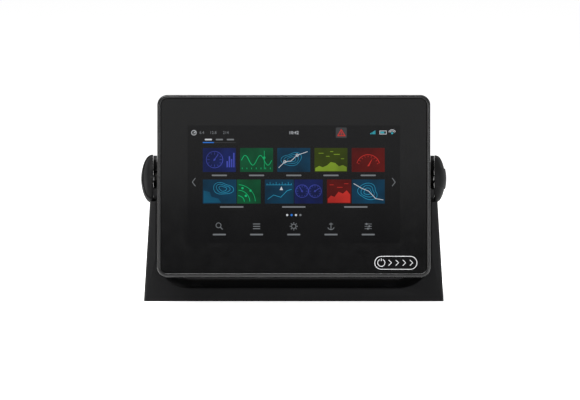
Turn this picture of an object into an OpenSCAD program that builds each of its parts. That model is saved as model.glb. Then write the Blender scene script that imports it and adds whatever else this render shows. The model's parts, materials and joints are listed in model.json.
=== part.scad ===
// Marine multifunction display (7 inch) on a trunnion bracket with two clamping knobs.
// Row frame: X to the viewer's right, Y to the back, Z up, origin under the middle of the base.
// Display frame (on_display): X right, Y up the screen, Z out of the screen, origin on the tilt axis.

/* [Display case] */
// Distance from the lit area to the case's sides
side_band = 22.05; // [20:0.05:22.3]
// Distance from the lit area to the case's top
top_band = 22.35; // [20:0.05:25]
// Radius of the case's four corners in front view
corner_r = 7.3; // [6:0.1:12]
// Depth of the bezel, from the crest of its rim to its rear edge
bezel_d = 9.3; // [9.3:0.1:12]
// Width of the rounded rim around the glass
rim_w = 2.7; // [2.4:0.1:3.6]
// Height of the rim's crest above the glass
rim_proud = 0.3; // [0:0.05:0.6]
// Wall thickness of the bezel's shelf behind the glass
shelf_t = 2.2; // [1.6:0.1:2.4]
// Wall thickness of the upstand around the screen window
upstand_t = 1.6; // [1.2:0.1:2.4]

/* [Screen] */
// Width of the lit area
screen_w = 154.2; // [150:0.1:156]
// Height of the lit area
screen_h = 85.9; // [82:0.1:88]
// Thickness of the cover glass
glass_t = 1.8; // [1.1:0.1:2]
// Gap between the cover glass and the rim
glass_gap = 0.35; // [0.2:0.05:0.6]
// Thickness of the adhesive tape and of the optical bond
bond_t = 0.3; // [0.1:0.05:0.5]
// Width of the panel's glass beside and above the lit area
lcd_border = 4.4; // [3:0.1:6]
// Width of the panel's glass below the lit area
lcd_foot = 8; // [6:0.1:9]
// Thickness of the liquid crystal panel
lcd_t = 1.9; // [1.5:0.1:2.2]
// Depth of the backlight tray
tray_t = 3.2; // [2.6:0.1:4]
// Length of the slide-to-power sensor
slide_w = 31; // [26:0.5:34]
// Height of the slide-to-power sensor
slide_h = 10.3; // [8:0.1:11]
// Distance from the case's right side to the sensor
slide_side = 9.6; // [8:0.1:14]
// Distance from the case's bottom to the sensor
slide_foot = 5; // [5:0.1:6]
// Gap between the sensor and the panel's edge
slide_gap = 1.05; // [0.6:0.05:4]
// Thickness of the sensor film
slide_t = 0.6; // [0.3:0.1:1]

/* [Rear housing] */
// Distance from the case's sides to the deep part of the rear housing
box_side = 15.15; // [14.5:0.05:17]
// Distance from the case's bottom to the deep part
box_foot = 1; // [0.8:0.1:3]
// Distance from the case's top to the deep part
box_head = 4; // [3:0.1:8]
// Depth of the rear housing behind the bezel
box_d = 37; // [36:0.5:44]
// Wall thickness of the rear housing
box_wall = 2.6; // [2.2:0.1:3]
// Corner radius of the deep part in front view
box_corner_r = 9; // [6:0.5:14]
// Radius of the deep part's rear edges
box_edge_r = 7; // [4:0.5:9]
// Thickness of the flange that meets the bezel
flange_t = 2.5; // [2:0.1:3.5]
// Step from the case's outline in to the flange's edge
flange_inset = 0.6; // [0.2:0.1:0.8]
// Width of the case seal
seal_w = 1; // [0.8:0.1:1.2]
// Distance of the case screws from the case's sides
case_screw_side = 7.6; // [7:0.1:9]

/* [Connector bay and card slot] */
// Width of the bay in the back that the connectors stand in
bay_w = 128; // [120:1:136]
// Height of the bay
bay_h = 30; // [26:0.5:32]
// Depth of the bay
bay_d = 10.6; // [8:0.1:11]
// Distance from the case's bottom to the bay
bay_foot = 8.6; // [7:0.1:12]
// Distance between neighbouring connectors
connector_pitch = 42; // [38:0.5:44]
// Radius of the power connector's barrel
power_r = 7; // [6:0.1:8]
// Radius of the network connector's barrel
network_r = 8; // [7:0.1:9]
// Radius of the transducer connector's barrel
transducer_r = 9.5; // [8:0.1:10]
// Length of each barrel beyond its nut
barrel_len = 9; // [7:0.5:11]
// Thickness of the connector nuts
nut_t = 3; // [2:0.1:4]
// Distance from the housing's side to the middle of the card slot
card_side = 20; // [19.5:0.5:24]
// Height of the card slot above the tilt axis
card_y = 14; // [12:0.5:20]
// Width of the card door
door_w = 21; // [19:0.5:22]
// Height of the card door
door_h = 28; // [26:0.5:30]
// Thickness of the card door
door_t = 2.2; // [1.8:0.1:3]
// Radius of the card door's hinge pin
door_pin_r = 1; // [0.8:0.05:1.1]

/* [Heat sink] */
// Width of the heat sink's base plate
sink_w = 92; // [88:1:96]
// Height of the heat sink's base plate
sink_h = 64; // [60:1:66]
// Thickness of the heat sink's base plate
sink_t = 2.5; // [2:0.1:3.5]
// Length of the fins behind the base plate
fin_len = 7.5; // [5:0.5:10]
// Thickness of a fin at its tip
fin_tip = 1.2; // [0.8:0.1:2]
// Distance between neighbouring fins
fin_pitch = 6; // [5:0.5:8]
// Side of the square pedestal that takes the processor's heat
pedestal = 34; // [28:1:40]

/* [Boards] */
// Thickness of the main board
board_t = 1.6; // [1.2:0.1:2]
// Gap between the boards and the housing's side walls
board_gap = 6.4; // [5:0.1:9]
// Gap between the main board and the aerial's shelf
shelf_gap = 4.8; // [4:0.1:12]
// Distance from the case's bottom to the main board
board_foot = 7; // [6.5:0.1:9]
// Distance from the chassis plate to the main board
post_len = 17.6; // [17:0.1:18]
// Thickness of the chassis plate
chassis_t = 1.6; // [1.2:0.1:1.8]
// Distance from the case's bottom to the chassis plate
chassis_foot = 5; // [4.5:0.1:5.5]
// Distance from the case's top to the chassis plate
chassis_head = 7.6; // [7:0.1:9]
// Height of the shielding can over the processor
shield_t = 2.4; // [1.5:0.1:3]
// Thickness of the thermal pad
pad_t = 1; // [0.5:0.1:2]

/* [Bracket] */
// Thickness of the arms at their foot
arm_foot_t = 9.5; // [8.4:0.1:12]
// Depth of the base from front to back
base_depth = 78; // [72:1:84]
// Height of the base
base_t = 9.8; // [9:0.1:11]
// Gap between the case's sides and the arms
arm_clear = 0.4; // [0.3:0.05:2.5]
// Inward lean of the arms' outer faces, in degrees
arm_lean = 3.57; // [2:0.01:4]
// Radius between the base and each arm, inside
inner_r = 23; // [16:0.5:26]
// Gap between the base and the lowest swing of the housing
swing_gap = 3.7; // [3.5:0.1:8]
// Distance of the tilt axis behind the bracket's front face
pivot_back = 17; // [17:0.1:19]
// Radius of the arms' round heads
head_r = 17; // [16:0.1:17.2]
// Thickness of the arms' heads
web_t = 2.6; // [2.2:0.1:3]
// Drop from the tilt axis to the ledge below each head
ledge_drop = 15.2; // [14:0.1:15.8]
// Wall thickness of the bracket's hollow foot
skin_t = 3; // [2.4:0.1:3.6]
// Thickness of the ribs under the base
rib_t = 2; // [1.6:0.1:3]
// Radius of the fixing screws' holes
fix_r = 2.75; // [2.2:0.05:3.2]
// Distance between the fixing holes from left to right
fix_x = 140; // [120:1:148]
// Distance between the fixing holes from front to back
fix_y = 50; // [46:1:54]
// Radius of the corners of the base in plan, at the back
foot_r = 14; // [6:1:20]
// Radius of the rounded edges on the bracket's front
edge_r = 1.2; // [0.5:0.1:2]
// Gap above and below the display's collar in its slot
slot_play = 0.08; // [0.02:0.01:0.1]

/* [Tilt joint] */
// Distance from the cover glass back to the tilt axis
pivot_setback = 34; // [33.5:0.1:36]
// Height of the tilt axis above the case's centre
pivot_rise = 8; // [7.6:0.1:9]
// Backward lean of the display as it stands, in degrees
rest_tilt = 11; // [6:0.5:14]
// Radius of the round bosses on the housing's sides
boss_r = 13; // [11.5:0.1:14]
// Gap between each boss and its arm when the knobs are slack
boss_gap = 0.6; // [0.5:0.05:1]
// Number of teeth in each ring
teeth = 30; // [20:2:36]
// Height of the teeth
tooth_h = 0.4; // [0.3:0.05:0.45]
// Width of a tooth at its root
tooth_w = 1; // [0.7:0.05:1.1]
// Outer radius of the brass inserts
insert_r = 6; // [5:0.1:6.5]
// Length of the brass inserts
insert_len = 20; // [16:0.5:20]
// Radius of the knobs' studs
stud_r = 2.95; // [2.4:0.05:3.5]
// Clearance between stud and insert
stud_play = 0.05; // [0.02:0.01:0.1]
// Length of the studs beyond the knob
stud_len = 13; // [9:0.5:14]

/* [Knobs] */
// Radius of the knobs
knob_r = 17.3; // [16:0.1:17.6]
// Height of the knobs' domes
knob_h = 8.2; // [6.5:0.1:9]
// Height of the grip wings above the dome
wing_h = 0.8; // [0.4:0.1:1.6]
// Width of a grip wing
wing_w = 14; // [10:0.1:18]
// Number of grip wings on a knob
wings = 2; // [2:1:4]
// Radius of the scallops between the wings
scallop_r = 9; // [6:0.1:12]
// Depth of the scallops
scallop_d = 0.8; // [0.4:0.1:1.6]
// Gap between the arm's outer face and the washer when slack
clamp_gap = 0.15; // [0.05:0.05:0.4]
// Thickness of the nylon washers
washer_t = 1; // [0.6:0.1:1.5]
// Radius of the nylon washers
washer_r = 13; // [10:0.5:14]

/* [Hidden] */
$fn = 64;

eps = 0.01;
fit = 0.05;             // clearance between pieces that are screwed or pushed together

// Display frame: depths along Z, out of the screen
case_y = -pivot_rise;
glass_face = pivot_setback;
rim_crest = glass_face + rim_proud;
glass_back = glass_face - glass_t;
shelf_front = glass_back - bond_t;
shelf_back = shelf_front - shelf_t;
lcd_front = glass_back - bond_t;
tray_front = lcd_front - lcd_t;
tray_back = tray_front - tray_t;
bezel_back = rim_crest - bezel_d;
chassis_back = tray_back - chassis_t;
board_front = chassis_back - post_len;
board_back = board_front - board_t;
flange_back = bezel_back - flange_t;
box_back = bezel_back - box_d;
box_inner = box_back + box_wall;
bay_floor = box_back + bay_d;
bay_inner = bay_floor + box_wall;

// Outlines in the display frame
body_w = screen_w + 2 * side_band;
foot_band = slide_foot + slide_h + slide_gap + lcd_foot;
body_h = screen_h + top_band + foot_band;
box_w = body_w - 2 * box_side;
box_h = body_h - box_foot - box_head;
box_y = case_y + (box_foot - box_head) / 2;
case_bottom = case_y - body_h / 2;
case_top = case_y + body_h / 2;
glass_inset = rim_w + glass_gap;
glass_w = body_w - 2 * glass_inset;
glass_h = body_h - 2 * glass_inset;
glass_r = corner_r - glass_inset;
screen_y = case_bottom + foot_band + screen_h / 2;
lcd_w = screen_w + 2 * lcd_border;
lcd_h = screen_h + lcd_border + lcd_foot;
lcd_y = screen_y + (lcd_border - lcd_foot) / 2;
window_play = 0.5;
window_w = lcd_w + 2 * window_play;
window_h = lcd_h + 2 * window_play;
upstand_w = window_w + 2 * upstand_t;
upstand_h = window_h + 2 * upstand_t;
chassis_low = case_bottom + chassis_foot;
chassis_high = case_top - chassis_head;
slide_x = body_w / 2 - slide_side - slide_w / 2;
slide_y = case_bottom + slide_foot + slide_h / 2;
bay_y = case_bottom + bay_foot + bay_h / 2;
seal_inset = flange_inset + 0.7;
seal_t = 1;

// Ceramic aerial on a shelf under the housing's top wall
patch_side = 25;
patch_t = 4;
patch_shelf_t = 1.6;
patch_y = case_top - box_head - box_wall - 0.6 - patch_t;
patch_z = box_inner + box_edge_r - box_wall;

// Screws
m3_r = 1.3;
m3_head_r = 2.8;
m3_head_t = 1.8;
m3_len = 6.4;
m25_r = 1.1;
m25_head_r = 2.2;
m25_head_t = 1.5;
pilot_play = 0.05;
boss_wall = 1.9;
case_screw_x = body_w / 2 - case_screw_side;
boss_screw_gap = 14;
case_screw_ys = [case_bottom + 14, -boss_r - boss_screw_gap, boss_r + boss_screw_gap, case_top - 9];
board_w = box_w - 2 * box_wall - 2 * board_gap;
board_h = patch_y - patch_shelf_t - shelf_gap - case_bottom - board_foot;
chassis_screw_x = board_w / 2 - 3;
chassis_screw_ys = [chassis_low + 3.7, chassis_high - 3.7];
post_x = board_w / 2 - 6;
patch_x = -board_w / 4;
board_y = case_bottom + board_foot + board_h / 2;
post_ys = [board_y - board_h / 2 + 12, board_y, board_y + board_h / 2 - 6];
post_r = 3;
m25_len = 5;

// Heat sink
sink_y = 4;
sink_back = box_back - sink_t;
sink_screw_x = sink_w / 2 - 3.5;
sink_screw_ys = [sink_y - sink_h / 2 + 6, sink_y, sink_y + sink_h / 2 - 6];
sink_seal_w = sink_w - 13;
sink_seal_h = sink_h - 13;
sink_seal_band = 1.6;
sink_seal_t = 1;
window_band = 2.4;
sink_window_w = sink_seal_w - 2 * (sink_seal_band + window_band) + 2;
sink_window_h = sink_seal_h - 2 * (sink_seal_band + window_band) + 2;
fin_count = 2 * floor((sink_w / 2 - 8) / fin_pitch) + 1;
pedestal_front = board_back - shield_t - pad_t;
shield_side = pedestal + 4;

// Card slot and its door
card_x = box_w / 2 - card_side;
recess_w = door_w - 7;
recess_h = door_h - 10;
recess_d = 9;
recess_floor = box_back + recess_d;
socket_w = 13;
socket_h = 11;
door_seal_t = 0.6;
door_rest = 0.05;
knuckle_r = 1.8;
knuckle_gap = 0.2;
hinge_y = card_y - door_h / 2 - knuckle_r - 0.1;
hinge_z = box_back - knuckle_r - knuckle_gap;
knuckle_len = door_w * 0.5;
lug_len = 3.4;
door_play = 0.3;
door_face = box_back - door_rest - door_seal_t;

// Bracket
front_y = -base_depth / 2;
rear_y = base_depth / 2;
pivot_y = front_y + pivot_back;
arm_gap = body_w + 2 * arm_clear;
base_w = arm_gap + 2 * arm_foot_t;
arm_in = arm_gap / 2;
pivot_z = base_t + swing_gap + norm([case_bottom + box_foot, box_back]);
ledge_z = pivot_z - ledge_drop;
bracket_top = pivot_z + head_r + 1;
foot_land = 1.2;
sweep_a = rear_y - foot_land - pivot_y - head_r;
sweep_b = pivot_z - base_t;
sweep_r = (sweep_a * sweep_a + sweep_b * sweep_b) / (2 * sweep_a);
knob_pocket_r = knob_r + wing_h + 0.5;
slot_r = insert_r + slot_play;
throat = 4;
sink_r = fix_r * 2;

// Tilt joint, along X from the middle of the case
boss_face = arm_in - boss_gap;
insert_end = arm_in + web_t - 0.7;
washer_in = arm_in + web_t + clamp_gap;
washer_out = washer_in + washer_t;
knob_in = washer_in + 0.1;
knob_seat = washer_out + fit;
tooth_in = insert_r + 1.5;
tooth_out = boss_r - 0.5;
stud_hex_r = 5.77;
stud_head_t = 4;

// ---- shared forms ----

module on_display() translate([0, pivot_y, pivot_z]) rotate([90 - rest_tilt, 0, 0]) children();

// A piece drawn for the right side, and its mirror image on the left
module on_side(side) {
    if (side > 0) children();
    else mirror([1, 0, 0]) children();
}

module along_x(x) translate([x, 0, 0]) rotate([0, 90, 0]) children();

module rounded(w, h, r) {
    square([w - 2 * r, h], center = true);
    square([w, h - 2 * r], center = true);
    for (sx = [-1, 1], sy = [-1, 1])
        translate([sx * (w / 2 - r), sy * (h / 2 - r)]) circle(r);
}

// Rounded plate centred on y, between two depths of the display frame
module plate(w, h, r, y, z_low, z_high)
    translate([0, y, z_low]) linear_extrude(z_high - z_low) rounded(w, h, r);

module ring(w, h, r, band, y, z_low, z_high)
    translate([0, y, z_low]) linear_extrude(z_high - z_low) difference() {
        rounded(w, h, r);
        rounded(w - 2 * band, h - 2 * band, max(r - band, 0.3));
    }

// Sweeps a profile, drawn as (distance in from the edge, depth), around a rounded rectangle
module frame_sweep(w, h, r) {
    for (i = [0:3])
        translate([(i == 0 || i == 3 ? 1 : -1) * (w / 2 - r), (i < 2 ? 1 : -1) * (h / 2 - r), 0])
            rotate([0, 0, 90 * i])
                rotate_extrude(angle = 90) translate([r, 0]) mirror([1, 0]) children();
    for (i = [0:3])
        rotate([0, 0, 90 * i])
            translate([i % 2 == 0 ? w / 2 : h / 2, 0, 0]) rotate([90, 0, 0])
                linear_extrude((i % 2 == 0 ? h : w) - 2 * r, center = true) mirror([1, 0]) children();
}

module pan_screw(r, head_r, head_t, len) {
    difference() {
        cylinder(r = head_r, h = head_t);
        translate([0, 0, -eps]) cylinder(r = r * 0.8, h = head_t * 0.6, $fn = 6);
    }
    translate([0, 0, head_t - eps]) cylinder(r = r, h = len + eps);
}

// ---- display: front ----

// Section of the case's rounded rim, with a softer outer edge than inner edge
module rim_section() {
    outer_r = rim_w * 0.6;
    inner_r = rim_w - outer_r;
    translate([0, bezel_back]) square([rim_w, rim_crest - outer_r - bezel_back]);
    translate([outer_r, bezel_back]) square([inner_r, rim_crest - inner_r - bezel_back]);
    intersection() {
        translate([outer_r, rim_crest - outer_r]) circle(outer_r);
        translate([0, rim_crest - outer_r]) square(outer_r);
    }
    intersection() {
        translate([outer_r, rim_crest - inner_r]) circle(inner_r);
        translate([outer_r, rim_crest - inner_r]) square(inner_r);
    }
}

module front_bezel() color([0.2, 0.2, 0.21]) on_display() {
    difference() {
        union() {
            translate([0, case_y, 0]) frame_sweep(body_w, body_h, corner_r) rim_section();
            difference() {
                plate(body_w - rim_w, body_h - rim_w, corner_r - rim_w / 2, case_y, shelf_back, shelf_front);
                plate(window_w, window_h, 2, lcd_y, shelf_back - 1, shelf_front + 1);
            }
            ring(upstand_w, upstand_h, 2 + upstand_t, upstand_t, lcd_y, tray_back, shelf_back + eps);
            for (sx = [-1, 1], y = case_screw_ys)
                translate([sx * case_screw_x, y, bezel_back])
                    cylinder(r = m3_r + boss_wall, h = shelf_back - bezel_back + eps);
            at_chassis_screws(tray_back) cylinder(r = m25_r + boss_wall, h = shelf_back - tray_back + eps);
        }
        translate([slide_x, slide_y, shelf_front - slide_t - fit])
            linear_extrude(slide_t + 1) rounded(slide_w + 1, slide_h + 1, 3);
        for (sx = [-1, 1], y = case_screw_ys)
            translate([sx * case_screw_x, y, bezel_back - 1])
                cylinder(r = m3_r + pilot_play, h = m3_len - flange_t + 1.4);
        at_chassis_screws(tray_back - 1) cylinder(r = m25_r + pilot_play, h = 4.2);
    }
}

// Screws that hold the chassis plate to the bezel, above and below the window
module at_chassis_screws(z)
    for (sx = [-1, 1], y = chassis_screw_ys) translate([sx * chassis_screw_x, y, z]) children();

module cover_glass() color([0.05, 0.05, 0.06]) on_display()
    plate(glass_w, glass_h, glass_r, case_y, glass_back, glass_face);

module glass_adhesive() color([0.1, 0.1, 0.1]) on_display() difference() {
    plate(glass_w - 2, glass_h - 2, glass_r - 1, case_y, shelf_front, glass_back);
    plate(window_w + 1, window_h + 1, 2.5, lcd_y, shelf_front - 1, glass_back + 1);
    translate([slide_x, slide_y, shelf_front - 1])
        linear_extrude(bond_t + 2) rounded(slide_w + 1, slide_h + 1, 3);
}

module optical_bond() color([0.8, 0.85, 0.9, 0.5]) on_display()
    plate(lcd_w - 2, lcd_h - 2, 1, lcd_y, lcd_front, glass_back);

module lcd_panel() color([0.1, 0.14, 0.3]) on_display()
    plate(lcd_w, lcd_h, 0.8, lcd_y, tray_front, lcd_front);

// Folded tray that holds the light guide, with pressed ribs across its back
module backlight_tray() color([0.75, 0.76, 0.78]) on_display() difference() {
    plate(lcd_w, lcd_h, 1, lcd_y, tray_back, tray_front);
    for (i = [-2:2])
        translate([i * lcd_w / 6, lcd_y, tray_back - 1])
            linear_extrude(1.6) rounded(lcd_w / 12, lcd_h * 0.7, 2);
}

module power_slide_sensor() color([0.85, 0.55, 0.15]) on_display()
    translate([slide_x, slide_y, glass_back - slide_t])
        linear_extrude(slide_t) rounded(slide_w, slide_h, 2.5);

// ---- display: inside ----

ribbon_w = 42;
ribbon_y = lcd_y - lcd_h / 2 + 5;
ribbon_foot = 8;
ribbon_t = 0.3;
module front_chassis() color([0.7, 0.71, 0.73]) on_display() difference() {
    union() {
        plate(upstand_w, chassis_high - chassis_low, 3, (chassis_low + chassis_high) / 2,
              chassis_back, tray_back);
        for (sx = [-1, 1], y = post_ys)
            translate([sx * post_x, y, board_front]) cylinder(r = post_r, h = post_len + eps);
    }
    at_chassis_screws(chassis_back - 1) cylinder(r = m25_r + pilot_play, h = chassis_t + 2);
    for (sx = [-1, 1], y = post_ys)
        translate([sx * post_x, y, board_front - 1]) cylinder(r = m25_r + pilot_play, h = m25_len);
    translate([0, ribbon_y, chassis_back - 1])
        linear_extrude(chassis_t + 2) rounded(ribbon_w + 4, 3, 1.4);
    for (sx = [-1, 1])
        translate([sx * board_w / 4, lcd_y + 8, chassis_back - 1])
            linear_extrude(chassis_t + 2) rounded(board_w / 4, lcd_h * 0.4, 6);
}

module chassis_screws() color([0.8, 0.8, 0.82]) on_display()
    at_chassis_screws(chassis_back - m25_head_t)
        pan_screw(m25_r, m25_head_r, m25_head_t, chassis_t + 3);

module main_board() color([0.05, 0.35, 0.2]) on_display() difference() {
    plate(board_w, board_h, 3, board_y, board_back, board_front);
    for (sx = [-1, 1], y = post_ys)
        translate([sx * post_x, y, board_back - 1]) cylinder(r = m25_r + 0.2, h = board_t + 2);
}

module board_screws() color([0.8, 0.8, 0.82]) on_display()
    for (sx = [-1, 1], y = post_ys)
        translate([sx * post_x, y, board_back - m25_head_t])
            pan_screw(m25_r, m25_head_r, m25_head_t, board_t + 3);

module processor_shield() color([0.78, 0.78, 0.76]) on_display()
    plate(shield_side, shield_side, 1.5, sink_y, board_back - shield_t, board_back);

module thermal_pad() color([0.6, 0.7, 0.85]) on_display()
    plate(pedestal - 2, pedestal - 2, 1, sink_y, pedestal_front, pedestal_front + pad_t);

// Memory chips, power inductors and electrolytic capacitors on the back of the board
module board_components() color([0.15, 0.15, 0.16]) on_display() {
    for (i = [0:3]) plate_at(-board_w / 5, sink_y - 18 + i * 12, 9, 8, 1.2);
    for (i = [0:2]) plate_at(-board_w / 3, sink_y - 20 + i * 14, 10, 10, 4.5);
    for (i = [0:2]) translate([board_w / 4, sink_y + 24 - i * 12, board_back - 8]) cylinder(r = 4, h = 8);
}
module plate_at(x, y, w, h, t)
    translate([x, y, board_back - t]) linear_extrude(t) rounded(w, h, 0.6);

module alarm_buzzer() color([0.1, 0.1, 0.1]) on_display()
    translate([board_w / 4, sink_y - 14, board_back - 5]) difference() {
        cylinder(r = 6, h = 5);
        translate([0, 0, -1]) cylinder(r = 1, h = 2);
    }

// Ceramic patch that lies on the shelf under the housing's top wall
module gnss_antenna() color([0.85, 0.8, 0.7]) on_display()
    translate([patch_x - patch_side / 2, patch_y, patch_z])
        cube([patch_side, patch_t, patch_side]);

module display_ribbon() color([0.85, 0.6, 0.2]) on_display()
    translate([-ribbon_w / 2, 0, 0]) rotate([90, 0, 90]) linear_extrude(ribbon_w) {
        translate([ribbon_y, board_front]) square([ribbon_t, tray_back - board_front]);
        translate([ribbon_y, board_front]) square([ribbon_foot, ribbon_t]);
    }

// ---- display: rear ----

// Plan or side outline of the deep part, with rounded rear edges
module rear_rounded(w, z_low, z_high, r) {
    translate([-w / 2, z_low + r]) square([w, z_high - z_low - r]);
    translate([-w / 2 + r, z_low]) square([w - 2 * r, z_high - z_low]);
    for (sx = [-1, 1]) translate([sx * (w / 2 - r), z_low + r]) circle(r);
}

// Deep part of the housing, with every wall moved in by inset
module box_form(inset, z_high) {
    w = box_w - 2 * inset;
    h = box_h - 2 * inset;
    intersection() {
        plate(w, h, box_corner_r - inset, box_y, box_back + inset, z_high);
        translate([0, box_y + h, 0]) rotate([90, 0, 0])
            linear_extrude(2 * h) rear_rounded(w, box_back + inset, z_high, box_edge_r - inset);
        translate([-w, box_y, 0]) rotate([90, 0, 90])
            linear_extrude(2 * w) rear_rounded(h, box_back + inset, z_high, box_edge_r - inset);
    }
}

module bay_form(grow, z_low)
    plate(bay_w + 2 * grow, bay_h + 2 * grow, 4 + grow, bay_y, z_low, bay_floor + grow);

module recess_form(grow, z_low)
    translate([card_x, card_y, z_low])
        linear_extrude(recess_floor + grow - z_low)
            rounded(recess_w + 2 * grow, recess_h + 2 * grow, 2 + grow);

// Radial bars of triangular section, as teeth or as the cutters of their grooves
module tooth_bars(grow) {
    for (i = [0:teeth - 1])
        rotate([i * 360 / teeth, 0, 0])
            translate([0, 0, tooth_in - grow])
                linear_extrude(tooth_out - tooth_in + 2 * grow)
                    polygon([[grow, -tooth_w / 2 - grow], [-tooth_h - grow, 0], [grow, tooth_w / 2 + grow]]);
}

module side_boss() {
    difference() {
        union() {
            along_x(box_w / 2 - box_wall) cylinder(r = boss_r, h = boss_face - box_w / 2 + box_wall);
            translate([box_w / 2 - 1, -1.5, boss_r - 4])
                cube([boss_face - box_w / 2 - 3, 3, flange_back - boss_r + 4 + eps]);
            along_x(insert_end - insert_len - 2)
                cylinder(r = insert_r + 2.4, h = box_w / 2 - insert_end + insert_len + 1);
        }
        along_x(insert_end - insert_len) cylinder(r = insert_r, h = insert_len + 2);
        translate([boss_face, 0, 0]) tooth_bars(0.05);
    }
}

module card_lug(x)
    translate([x, 0, 0]) {
        translate([0, hinge_y, hinge_z]) along_x(-lug_len / 2) cylinder(r = knuckle_r, h = lug_len);
        translate([-lug_len / 2, hinge_y - knuckle_r, hinge_z])
            cube([lug_len, 2 * knuckle_r, box_back - hinge_z + eps]);
    }

lug_x = knuckle_len / 2 + door_play + lug_len / 2;

module rear_housing() color([0.16, 0.16, 0.17]) on_display() {
    difference() {
        union() {
            box_form(0, bezel_back);
            plate(body_w - 2 * flange_inset, body_h - 2 * flange_inset, corner_r - flange_inset,
                  case_y, flange_back, bezel_back);
            for (sx = [-1, 1]) card_lug(card_x + sx * lug_x);
        }
        difference() {
            box_form(box_wall, bezel_back + 1);
            bay_form(box_wall, box_back);
            recess_form(box_wall, box_back);
            for (sx = [-1, 1], y = sink_screw_ys)
                translate([sx * sink_screw_x, y, box_back]) cylinder(r = m3_r + boss_wall, h = box_wall + 5);
            translate([patch_x - patch_side / 2 - 1, patch_y - patch_shelf_t, box_back])
                cube([patch_side + 2, patch_shelf_t, patch_z - box_back + patch_side + 0.5]);
        }
        bay_form(0, box_back - 1);
        recess_form(0, box_back - 1);
        translate([card_x, card_y, recess_floor - 1])
            linear_extrude(box_wall + 2) rounded(socket_w + 0.2, socket_h + 0.2, 0.6);
        plate(sink_window_w, sink_window_h, 3, sink_y, box_back - 1, box_inner + 1);
        ring(sink_seal_w, sink_seal_h, 5, sink_seal_band, sink_y, box_back - 1, box_back + sink_seal_t);
        for (sx = [-1, 1], y = sink_screw_ys)
            translate([sx * sink_screw_x, y, box_back - 1]) cylinder(r = m3_r + pilot_play, h = 6.4);
        ring(body_w - 2 * seal_inset, body_h - 2 * seal_inset, corner_r - seal_inset, seal_w,
             case_y, bezel_back - seal_t, bezel_back + 1);
        for (sx = [-1, 1], y = case_screw_ys)
            translate([sx * case_screw_x, y, flange_back - 1])
                cylinder(r = m3_r + 0.3, h = flange_t + 2);
        for (i = [0:2])
            translate([connector_x(i), bay_y, bay_floor - 1])
                cylinder(r = neck_r(i) + fit, h = box_wall + 2);
        translate([vent_x, card_y, box_back - 1]) cylinder(r = vent_r + fit, h = box_wall + 2);
        translate([card_x - door_w, hinge_y, hinge_z])
            rotate([0, 90, 0]) cylinder(r = door_pin_r, h = 2 * door_w);
        for (side = [-1, 1]) on_side(side) insert_hole();
    }
    for (side = [-1, 1]) on_side(side) side_boss();
}

module insert_hole() along_x(insert_end - insert_len) cylinder(r = insert_r, h = insert_len + 2);

module case_seal() color([0.3, 0.3, 0.3]) on_display()
    ring(body_w - 2 * seal_inset, body_h - 2 * seal_inset, corner_r - seal_inset, seal_w,
         case_y, bezel_back - seal_t, bezel_back);

module case_screws() color([0.8, 0.8, 0.82]) on_display()
    for (sx = [-1, 1], y = case_screw_ys)
        translate([sx * case_screw_x, y, flange_back - m3_head_t])
            pan_screw(m3_r, m3_head_r, m3_head_t, m3_len);

// A fin's section, thicker at its root
module fin_section()
    polygon([[-fin_tip / 2 - 0.4, 0], [fin_tip / 2 + 0.4, 0], [fin_tip / 2, -fin_len], [-fin_tip / 2, -fin_len]]);

module heat_sink() color([0.3, 0.31, 0.32]) on_display() difference() {
    union() {
        plate(sink_w, sink_h, 4, sink_y, sink_back, box_back);
        intersection() {
            for (i = [0:fin_count - 1])
                translate([(i - (fin_count - 1) / 2) * fin_pitch, sink_y + sink_h / 2 - 3, sink_back + eps])
                    rotate([90, 0, 0]) linear_extrude(sink_h - 6) fin_section();
            translate([-sink_w, sink_y, 0]) rotate([90, 0, 90])
                linear_extrude(2 * sink_w) rear_rounded(sink_h - 6, sink_back - fin_len, 0, fin_len);
        }
        plate(pedestal, pedestal, 2, sink_y, box_back - eps, pedestal_front);
    }
    for (sx = [-1, 1], y = sink_screw_ys)
        translate([sx * sink_screw_x, y, sink_back - 1]) cylinder(r = m3_r + 0.3, h = sink_t + 2);
}

module heat_sink_seal() color([0.3, 0.3, 0.3]) on_display()
    ring(sink_seal_w - 2 * fit, sink_seal_h - 2 * fit, 5 - fit, sink_seal_band - 2 * fit,
         sink_y, box_back, box_back + sink_seal_t);

module heat_sink_screws() color([0.8, 0.8, 0.82]) on_display()
    for (sx = [-1, 1], y = sink_screw_ys)
        translate([sx * sink_screw_x, y, sink_back - m3_head_t])
            pan_screw(m3_r, m3_head_r, m3_head_t, sink_t + 5);

// ---- connectors: power, network and transducer, from left to right in front view ----

function connector_x(i) = (i - 1) * connector_pitch;
function barrel_r(i) = [power_r, network_r, transducer_r][i];
function neck_r(i) = barrel_r(i) + 0.5;
function pin_count(i) = [5, 8, 11][i];
connector_seal_t = 0.8;
connector_flange = 2;
seat_z = bay_inner + connector_seal_t;
nut_back = bay_floor - nut_t;

module connector(i) translate([connector_x(i), bay_y, 0]) {
    difference() {
        union() {
            translate([0, 0, seat_z]) cylinder(r = neck_r(i) + 2, h = connector_flange);
            translate([0, 0, nut_back]) cylinder(r = neck_r(i), h = seat_z - nut_back + eps);
            translate([0, 0, nut_back - barrel_len]) cylinder(r = barrel_r(i), h = barrel_len + eps);
            translate([0, 0, seat_z]) cylinder(r = neck_r(i) - 1.5, h = board_back - seat_z);
        }
        translate([0, 0, nut_back - barrel_len - 1]) cylinder(r = barrel_r(i) - 1.4, h = barrel_len + 1);
    }
    for (k = [0:pin_count(i) - 1])
        rotate([0, 0, k * 360 / pin_count(i)])
            translate([barrel_r(i) * 0.52, 0, nut_back - barrel_len * 0.7])
                cylinder(r = 0.6, h = barrel_len * 0.7 + eps);
}

module power_connector() color([0.12, 0.12, 0.12]) on_display() connector(0);
module network_connector() color([0.12, 0.12, 0.12]) on_display() connector(1);
module transducer_connector() color([0.12, 0.12, 0.12]) on_display() connector(2);

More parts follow.
